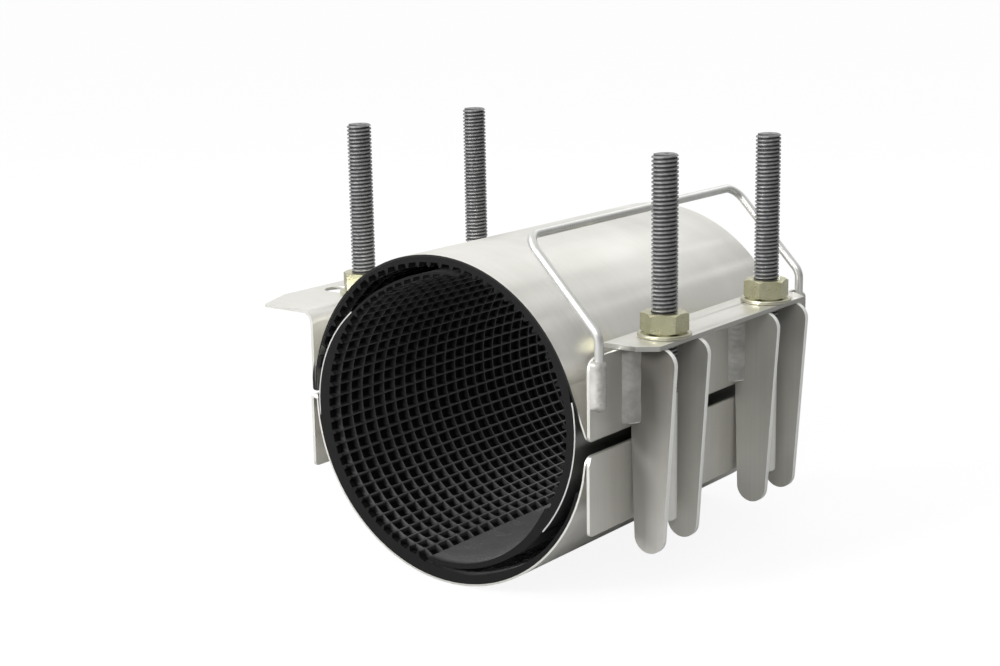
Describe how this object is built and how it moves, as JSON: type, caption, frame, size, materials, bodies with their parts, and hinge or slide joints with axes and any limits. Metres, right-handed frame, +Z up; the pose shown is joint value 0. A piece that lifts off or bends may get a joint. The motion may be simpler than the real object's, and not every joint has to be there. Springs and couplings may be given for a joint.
{
  "type": "pipe repair coupling",
  "caption": "Stainless double band repair coupling with waffle rubber gaskets, finger lugs, studs and a wire bail, for closing round a steel pipe.",
  "frame": {"origin": "on the pipe axis, at mid length of the coupling", "axes": "+Y along the pipe, +Z up along the studs, +X towards the fingers"},
  "size_m": [0.2384, 0.2, 0.2189],
  "materials": {
    "shell_steel": "satin brushed stainless sheet",
    "plate_steel": "bright thin stainless strip",
    "bar_steel": "satin stainless flat bar",
    "finger_steel": "passivated stainless plate",
    "wire_steel": "bright drawn stainless wire",
    "stud_steel": "grey coated threaded stud",
    "nut_zinc": "pale gold passivated nut",
    "washer_zinc": "pale passivated washer",
    "gasket_rubber": "matt black waffle pattern rubber"
  },
  "bodies": {
    "lower_half": {"lower_shell": "shell_steel", "lower_gasket": "gasket_rubber", "lower_bridge_plate": "plate_steel", "stud_front_right": "stud_steel", "stud_back_right": "stud_steel", "stud_front_left": "stud_steel", "stud_back_left": "stud_steel"},
    "upper_half": {"upper_shell": "shell_steel", "upper_gasket": "gasket_rubber", "upper_bridge_plate": "plate_steel", "closing_bar": "bar_steel", "finger_front_outer": "finger_steel", "finger_front_inner": "finger_steel", "finger_back_inner": "finger_steel", "finger_back_outer": "finger_steel", "bail_handle": "wire_steel", "washer_front_right": "washer_zinc", "washer_back_right": "washer_zinc", "washer_front_left": "washer_zinc", "washer_back_left": "washer_zinc"},
    "front_right_nut": {"nut_front_right": "nut_zinc"},
    "back_right_nut": {"nut_back_right": "nut_zinc"},
    "front_left_nut": {"nut_front_left": "nut_zinc"},
    "back_left_nut": {"nut_back_left": "nut_zinc"}
  },
  "joints": [
    {"name": "upper_half_lift", "type": "slide", "parent": "lower_half", "child": "upper_half", "axis": [0, 0, 1], "range_m": [0, 0.07]},
    {"name": "nut_front_right_turn", "type": "hinge", "parent": "upper_half", "child": "front_right_nut", "pos_m": [0.09723, -0.049, 0.05385], "axis": [0, 0, 1], "range_deg": [0, 12900]},
    {"name": "nut_back_right_turn", "type": "hinge", "parent": "upper_half", "child": "back_right_nut", "pos_m": [0.09723, 0.049, 0.05385], "axis": [0, 0, 1], "range_deg": [0, 12900]},
    {"name": "nut_front_left_turn", "type": "hinge", "parent": "upper_half", "child": "front_left_nut", "pos_m": [-0.09175, -0.049, 0.05415], "axis": [0, 0, 1], "range_deg": [0, 12900]},
    {"name": "nut_back_left_turn", "type": "hinge", "parent": "upper_half", "child": "back_left_nut", "pos_m": [-0.09175, 0.049, 0.05415], "axis": [0, 0, 1], "range_deg": [0, 12900]}
  ],
  "couplings": [
    {"joint": "nut_front_right_turn", "follows": "upper_half_lift", "rad_per_m": 3215.8},
    {"joint": "nut_back_right_turn", "follows": "upper_half_lift", "rad_per_m": 3215.8},
    {"joint": "nut_front_left_turn", "follows": "upper_half_lift", "rad_per_m": 3215.8},
    {"joint": "nut_back_left_turn", "follows": "upper_half_lift", "rad_per_m": 3215.8}
  ]
}
